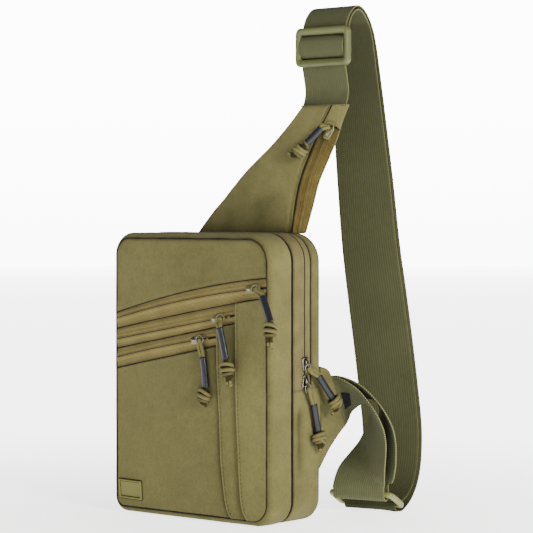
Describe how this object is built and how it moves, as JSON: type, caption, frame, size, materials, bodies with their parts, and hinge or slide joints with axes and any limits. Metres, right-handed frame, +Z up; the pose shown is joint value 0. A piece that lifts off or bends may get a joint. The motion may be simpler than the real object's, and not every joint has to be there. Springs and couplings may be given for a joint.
{
  "type": "sling bag",
  "caption": "Small padded sling bag with curved front zips, a two-way main zip, a tapering upper wing with its own zip, and a webbing shoulder strap with an adjuster and a rectangular ring.",
  "frame": {"origin": "on the surface the bag stands on, under the middle of its body", "axes": "+Z up, -Y is the front with the curved zips, +X is the wearer's left when seen from the front, where the strap hangs"},
  "size_m": [0.2331, 0.2195, 0.4458],
  "materials": {
    "cloth": "woven olive nylon, matt",
    "zip_tape": "ochre knitted zip tape",
    "main_tape": "tan knitted zip tape",
    "webbing": "ribbed olive webbing",
    "mesh": "spacer mesh",
    "plastic": "moulded olive plastic",
    "patch": "soft moulded rubber, blank",
    "label": "woven black label, blank",
    "metal": "plated zinc",
    "sleeve": "dark heat-shrink sleeve",
    "cord": "round olive cord"
  },
  "bodies": {
    "bag": {"back_mesh_pad": "mesh", "back_panel": "cloth", "compartment_divider": "cloth", "front_gusset": "cloth", "front_panel_upper": "cloth", "main_gusset": "cloth", "main_zip_coil": "main_tape", "main_zip_tape_front": "main_tape", "main_zip_tape_rear": "main_tape", "pocket_lining": "cloth", "pocket_panel_left": "cloth", "pocket_panel_middle": "cloth", "pocket_panel_right": "cloth", "rear_gusset": "cloth", "rubber_patch": "patch", "strap_label": "label", "strap_wing_panel": "cloth", "webbing_long": "webbing", "webbing_lower_loop": "webbing", "wing_back_panel": "cloth", "wing_front_panel": "cloth", "wing_left_gusset": "cloth", "wing_zip_coil": "zip_tape", "wing_zip_garage": "cloth", "wing_zip_tape": "zip_tape", "zip_coil_front_1": "zip_tape", "zip_coil_front_2": "zip_tape", "zip_coil_front_3": "zip_tape", "zip_tape_front_1": "zip_tape", "zip_tape_front_2": "zip_tape", "zip_tape_front_3": "zip_tape"},
    "slider_front_1": {"slider_body_front_1": "metal"},
    "pull_front_1": {"pull_bail_front_1": "metal", "pull_cord_front_1": "cord", "pull_sleeve_front_1": "sleeve"},
    "slider_front_2": {"slider_body_front_2": "metal"},
    "pull_front_2": {"pull_bail_front_2": "metal", "pull_cord_front_2": "cord", "pull_sleeve_front_2": "sleeve"},
    "slider_front_3": {"slider_body_front_3": "metal"},
    "pull_front_3": {"pull_bail_front_3": "metal", "pull_cord_front_3": "cord", "pull_sleeve_front_3": "sleeve"},
    "slider_main_upper": {"slider_body_main_upper": "metal"},
    "pull_main_upper": {"pull_bail_main_upper": "metal", "pull_cord_main_upper": "cord", "pull_sleeve_main_upper": "sleeve"},
    "slider_main_lower": {"slider_body_main_lower": "metal"},
    "pull_main_lower": {"pull_bail_main_lower": "metal", "pull_cord_main_lower": "cord", "pull_sleeve_main_lower": "sleeve"},
    "slider_wing": {"slider_body_wing": "metal"},
    "pull_wing": {"pull_bail_wing": "metal", "pull_cord_wing": "cord", "pull_sleeve_wing": "sleeve"},
    "adjuster": {"tri_glide": "plastic", "webbing_adjuster_turn": "webbing"},
    "ring": {"rect_ring": "plastic"}
  },
  "joints": [
    {"name": "front_1_zip", "type": "hinge", "parent": "bag", "child": "slider_front_1", "pos_m": [0.1864, -0.0344, -0.8632], "axis": [0, -1, 0], "range_deg": [0, 5.7], "deforming": ["pull_cord_front_1", "pull_sleeve_front_1", "pull_cord_front_2", "pull_sleeve_front_2", "pull_cord_front_3", "pull_sleeve_front_3", "pull_cord_main_upper", "pull_sleeve_main_upper", "pull_cord_main_lower", "pull_sleeve_main_lower", "pull_cord_wing", "pull_sleeve_wing"]},
    {"name": "front_3_zip", "type": "hinge", "parent": "bag", "child": "slider_front_3", "pos_m": [0.2751, -0.0344, -1.4672], "axis": [0, -1, 0], "range_deg": [0, 3], "deforming": ["pull_cord_front_3", "pull_sleeve_front_3"]},
    {"name": "front_2_zip", "type": "slide", "parent": "bag", "child": "slider_front_2", "axis": [-0.9841, 0, -0.1776], "range_m": [0, 0.0884], "deforming": ["pull_cord_front_2", "pull_sleeve_front_2"]},
    {"name": "main_upper_zip", "type": "slide", "parent": "bag", "child": "slider_main_upper", "axis": [0, 0, 1], "range_m": [0, 0.08], "deforming": ["pull_cord_main_upper", "pull_sleeve_main_upper"]},
    {"name": "main_lower_zip", "type": "slide", "parent": "bag", "child": "slider_main_lower", "axis": [0, 0, 1], "range_m": [-0.001, 0.003], "deforming": ["pull_cord_main_lower", "pull_sleeve_main_lower"]},
    {"name": "wing_zip", "type": "slide", "parent": "bag", "child": "slider_wing", "axis": [-0.2205, -0.2701, -0.9372], "range_m": [0, 0.04], "deforming": ["pull_cord_wing", "pull_sleeve_wing"]},
    {"name": "front_1_pull", "type": "hinge", "parent": "slider_front_1", "child": "pull_front_1", "pos_m": [0.07826, -0.0384, 0.20444], "axis": [-1, 0, 0], "range_deg": [0, 70]},
    {"name": "front_2_pull", "type": "hinge", "parent": "slider_front_2", "child": "pull_front_2", "pos_m": [0.0392, -0.0384, 0.17885], "axis": [-1, 0, 0], "range_deg": [0, 70]},
    {"name": "front_3_pull", "type": "hinge", "parent": "slider_front_3", "child": "pull_front_3", "pos_m": [0.01572, -0.0384, 0.15972], "axis": [-1, 0, 0], "range_deg": [0, 70]},
    {"name": "main_upper_pull", "type": "hinge", "parent": "slider_main_upper", "child": "pull_main_upper", "pos_m": [0.09555, 0.01, 0.13663], "axis": [0, -1, 0], "range_deg": [0, 70]},
    {"name": "main_lower_pull", "type": "hinge", "parent": "slider_main_lower", "child": "pull_main_lower", "pos_m": [0.09555, 0.01, 0.11943], "axis": [0, -1, 0], "range_deg": [0, 70]},
    {"name": "wing_pull", "type": "hinge", "parent": "slider_wing", "child": "pull_wing", "pos_m": [0.09075, 0.04721, 0.34241], "axis": [-1, 0, 0], "range_deg": [0, 28]},
    {"name": "adjuster_slide", "type": "slide", "parent": "bag", "child": "adjuster", "axis": [0, 0, 1], "range_m": [-0.02, 0.003]},
    {"name": "ring_tilt", "type": "hinge", "parent": "bag", "child": "ring", "pos_m": [0.0846, 0.1065, 0.0109], "axis": [0.9781, 0.2079, 0], "range_deg": [-2, 2]}
  ]
}
